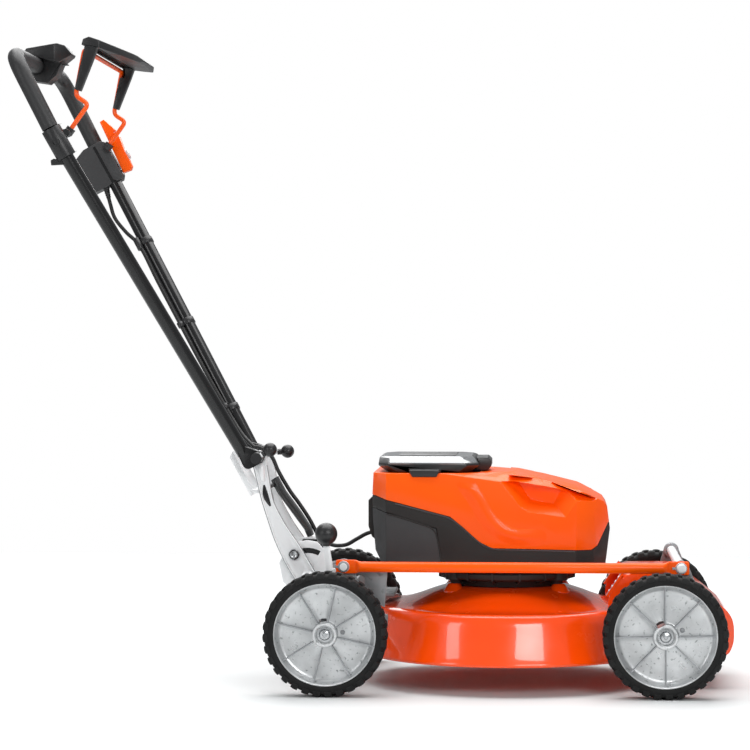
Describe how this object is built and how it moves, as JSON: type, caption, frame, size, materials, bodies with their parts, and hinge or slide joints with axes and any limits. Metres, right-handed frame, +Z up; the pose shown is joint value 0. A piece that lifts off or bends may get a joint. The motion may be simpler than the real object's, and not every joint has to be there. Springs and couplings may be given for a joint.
{
  "type": "push lawn mower",
  "caption": "Battery push lawn mower: round steel deck, ribbed wheels on height cranks with a link rod, motor housing with battery lid, and a folding angled handle with a bail bar.",
  "frame": {"origin": "bottom centre of the whole mower's box, on the ground", "axes": "+X forward, +Y to the mower's left, +Z up"},
  "size_m": [1.24, 0.53, 1.121],
  "materials": {
    "deck_orange": "glossy powder coat on pressed steel",
    "cover_orange": "satin-gloss moulded plastic",
    "charcoal": "fine-textured moulded plastic",
    "dark_grey": "fine-textured moulded plastic",
    "black_plastic": "satin moulded plastic",
    "tube_black": "satin black powder coat",
    "silver": "bright zinc-plated plate",
    "cast_grey": "matt casting",
    "wheel_silver": "mottled casting",
    "tyre": "moulded tread rubber",
    "steel": "machined",
    "copper": "enamelled windings on laminated iron",
    "cable": "matt sheath",
    "orange_wire": "powder-coated steel wire"
  },
  "bodies": {
    "chassis": {"deck": "deck_orange", "front_housing": "deck_orange", "rear_frame": "cast_grey", "lever_sector": "cast_grey", "motor_flange": "charcoal", "spindle_bearing": "steel", "motor_stator": "copper", "housing_base": "charcoal", "housing_rear_panel": "dark_grey", "motor_cover": "cover_orange", "battery_cradle": "charcoal", "battery_pack": "black_plastic", "motor_controller": "cast_grey", "handle_bracket_right": "silver", "handle_bracket_left": "silver", "tilt_pivot_shaft": "steel", "lower_cable": "cable"},
    "rear_carriage": {"rear_right_crank": "cast_grey", "rear_left_crank": "cast_grey", "rear_axle": "steel", "height_lever": "silver", "height_knob": "black_plastic"},
    "front_carriage": {"front_right_crank": "cast_grey", "front_left_crank": "cast_grey", "front_axle": "steel", "front_cross_shaft": "silver"},
    "link_rod": {"link_rod": "orange_wire"},
    "front_right_wheel": {"front_right_tyre": "tyre", "front_right_rim": "wheel_silver"},
    "front_left_wheel": {"front_left_tyre": "tyre", "front_left_rim": "wheel_silver"},
    "rear_right_wheel": {"rear_right_tyre": "tyre", "rear_right_rim": "wheel_silver"},
    "rear_left_wheel": {"rear_left_tyre": "tyre", "rear_left_rim": "wheel_silver"},
    "blade_unit": {"motor_rotor": "steel", "spindle": "steel", "blade_adapter": "cast_grey", "blade": "steel", "blade_bolt": "steel"},
    "battery_lid": {"battery_lid": "black_plastic"},
    "handle_base": {"handle_arm_right": "silver", "handle_arm_left": "silver", "angle_lock_bolt": "steel", "fold_shaft": "steel", "handle_back_plate": "silver", "cable_guard": "black_plastic"},
    "handle_top": {"handle_tube_right": "tube_black", "handle_tube_left": "tube_black", "grip_bar": "black_plastic", "coupling_sleeve": "black_plastic", "switch_box": "dark_grey", "console": "black_plastic", "upper_cable": "cable"},
    "bail": {"bail": "orange_wire", "bail_cover": "black_plastic"},
    "start_lever": {"start_lever": "cover_orange"},
    "power_button": {"power_button": "cover_orange"},
    "clamp_lever_right": {"clamp_lever_right": "black_plastic"},
    "clamp_lever_left": {"clamp_lever_left": "black_plastic"}
  },
  "joints": [
    {"name": "height_adjust", "type": "hinge", "parent": "chassis", "child": "rear_carriage", "pos_m": [-0.009, 0, 0.124], "axis": [0, 1, 0], "range_deg": [0, 30]},
    {"name": "front_carriage_swing", "type": "hinge", "parent": "chassis", "child": "front_carriage", "pos_m": [0.561, 0, 0.124], "axis": [0, 1, 0], "range_deg": [0, 30]},
    {"name": "link_rod_pivot", "type": "hinge", "parent": "rear_carriage", "child": "link_rod", "pos_m": [-0.044, -0.198, 0.215], "axis": [0, 1, 0], "range_deg": [-30, 0]},
    {"name": "blade_spin", "type": "hinge", "parent": "chassis", "child": "blade_unit", "pos_m": [0.23, 0, 0.12], "axis": [0, 0, 1], "continuous": true},
    {"name": "lid_hinge", "type": "hinge", "parent": "chassis", "child": "battery_lid", "pos_m": [0.192, 0, 0.384], "axis": [0, 1, 0], "range_deg": [0, 100]},
    {"name": "handle_tilt", "type": "hinge", "parent": "chassis", "child": "handle_base", "pos_m": [-0.118, 0, 0.186], "axis": [0, 1, 0], "range_deg": [0, 25]},
    {"name": "handle_fold", "type": "hinge", "parent": "handle_base", "child": "handle_top", "pos_m": [-0.202, 0, 0.394], "axis": [0, 1, 0], "range_deg": [0, 75]},
    {"name": "clamp_right_turn", "type": "hinge", "parent": "handle_base", "child": "clamp_lever_right", "pos_m": [-0.202, -0.113, 0.394], "axis": [0, 1, 0], "range_deg": [0, 100]},
    {"name": "clamp_left_turn", "type": "hinge", "parent": "handle_base", "child": "clamp_lever_left", "pos_m": [-0.202, 0.113, 0.394], "axis": [0, 1, 0], "range_deg": [0, 100]},
    {"name": "bail_squeeze", "type": "hinge", "parent": "handle_top", "child": "bail", "pos_m": [-0.513, 0, 0.95], "axis": [0, 1, 0], "range_deg": [-14, 0], "stiffness_Nm_per_rad": 3, "springref_deg": 11.46},
    {"name": "start_lever_pull", "type": "hinge", "parent": "handle_top", "child": "start_lever", "pos_m": [-0.4858, 0.233, 0.9245], "axis": [0, 1, 0], "range_deg": [0, 7], "stiffness_Nm_per_rad": 0.5, "springref_deg": -8.59},
    {"name": "power_button_press", "type": "slide", "parent": "handle_top", "child": "power_button", "axis": [0, 0, -1], "range_m": [0, 0.003], "stiffness_N_per_m": 300, "springref_m": -0.001},
    {"name": "front_right_wheel_spin", "type": "hinge", "parent": "front_carriage", "child": "front_right_wheel", "pos_m": [0.498, -0.24, 0.105], "axis": [0, 1, 0], "continuous": true},
    {"name": "front_left_wheel_spin", "type": "hinge", "parent": "front_carriage", "child": "front_left_wheel", "pos_m": [0.498, 0.24, 0.105], "axis": [0, 1, 0], "continuous": true},
    {"name": "rear_right_wheel_spin", "type": "hinge", "parent": "rear_carriage", "child": "rear_right_wheel", "pos_m": [-0.072, -0.24, 0.105], "axis": [0, 1, 0], "continuous": true},
    {"name": "rear_left_wheel_spin", "type": "hinge", "parent": "rear_carriage", "child": "rear_left_wheel", "pos_m": [-0.072, 0.24, 0.105], "axis": [0, 1, 0], "continuous": true}
  ],
  "couplings": [
    {"joint": "front_carriage_swing", "follows": "height_adjust", "ratio": 1},
    {"joint": "link_rod_pivot", "follows": "height_adjust", "ratio": -1}
  ]
}
